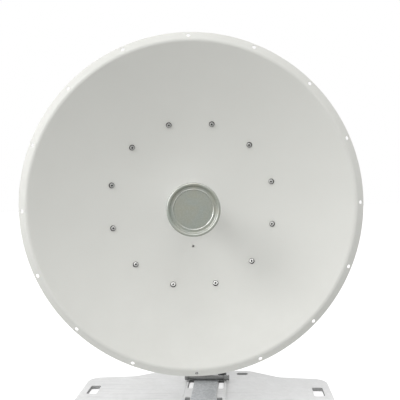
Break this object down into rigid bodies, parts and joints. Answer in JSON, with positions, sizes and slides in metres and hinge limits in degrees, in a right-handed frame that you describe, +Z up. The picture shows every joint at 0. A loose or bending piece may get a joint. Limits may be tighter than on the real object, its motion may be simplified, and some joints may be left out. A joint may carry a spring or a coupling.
{
  "type": "microwave dish antenna on a mast stand",
  "caption": "Parabolic microwave dish with a centre feed, on a tilting bracket clamped to a short mast that stands on a slotted steel base plate.",
  "frame": {"origin": "middle of the base plate's underside, on the floor", "axes": "+Z up the mast; +Y to the rear, where the mast stands; the dish looks towards -Y, turned 6.14 degrees towards +X at rest"},
  "size_m": [0.6557, 0.3822, 0.7575],
  "materials": {
    "white_coat": "matt pale grey-white powder coat on spun sheet",
    "galvanised": "hot-dip galvanised steel, light grey with faint marks",
    "spangled_zinc": "darker blue-grey zinc with a fine spangle",
    "black_steel": "black coated steel",
    "stainless": "plain stainless fasteners",
    "cast_aluminium": "cast and machined aluminium",
    "feed_plastic": "greenish grey moulded plastic",
    "cap_rubber": "black rubber cap",
    "brass_plate": "plated brass jacks"
  },
  "bodies": {
    "stand": {"base_plate": "galvanised", "centre_channel": "galvanised", "centre_strap": "spangled_zinc", "cross_rod": "black_steel", "mast_flange": "galvanised", "mast": "galvanised", "mast_cap": "cap_rubber"},
    "swivel": {"clamp_front": "cast_aluminium", "clamp_rear": "cast_aluminium", "clamp_bolt_lower_left": "stainless", "clamp_bolt_upper_left": "stainless", "clamp_bolt_lower_right": "stainless", "clamp_bolt_upper_right": "stainless", "tilt_fork": "galvanised", "pivot_bolt_left": "stainless", "pivot_bolt_right": "stainless"},
    "antenna": {"lock_bolt_left": "stainless", "lock_bolt_right": "stainless", "tilt_ear_left": "galvanised", "tilt_ear_right": "galvanised", "mounting_ring": "galvanised", "rear_plate": "galvanised", "reflector": "white_coat", "bowl_screw_01": "stainless", "bowl_screw_02": "stainless", "bowl_screw_03": "stainless", "bowl_screw_04": "stainless", "bowl_screw_05": "stainless", "bowl_screw_06": "stainless", "bowl_screw_07": "stainless", "bowl_screw_08": "stainless", "bowl_screw_09": "stainless", "bowl_screw_10": "stainless", "bowl_screw_11": "stainless", "bowl_screw_12": "stainless", "feed_collar": "cast_aluminium", "feed_tube": "cast_aluminium", "feed_horn": "feed_plastic", "feed_cap": "feed_plastic", "feed_face": "feed_plastic", "feed_hub": "cast_aluminium", "feed_jack_left": "brass_plate", "feed_jack_right": "brass_plate"}
  },
  "joints": [
    {"name": "azimuth_swivel", "type": "hinge", "parent": "stand", "child": "swivel", "pos_m": [0.002, 0.153, 0.428], "axis": [0, 0, 1], "range_deg": [-45, 45]},
    {"name": "elevation_tilt", "type": "hinge", "parent": "swivel", "child": "antenna", "pos_m": [0.01034, 0.07545, 0.406], "axis": [-0.9943, -0.107, 0], "range_deg": [-15, 15]}
  ]
}
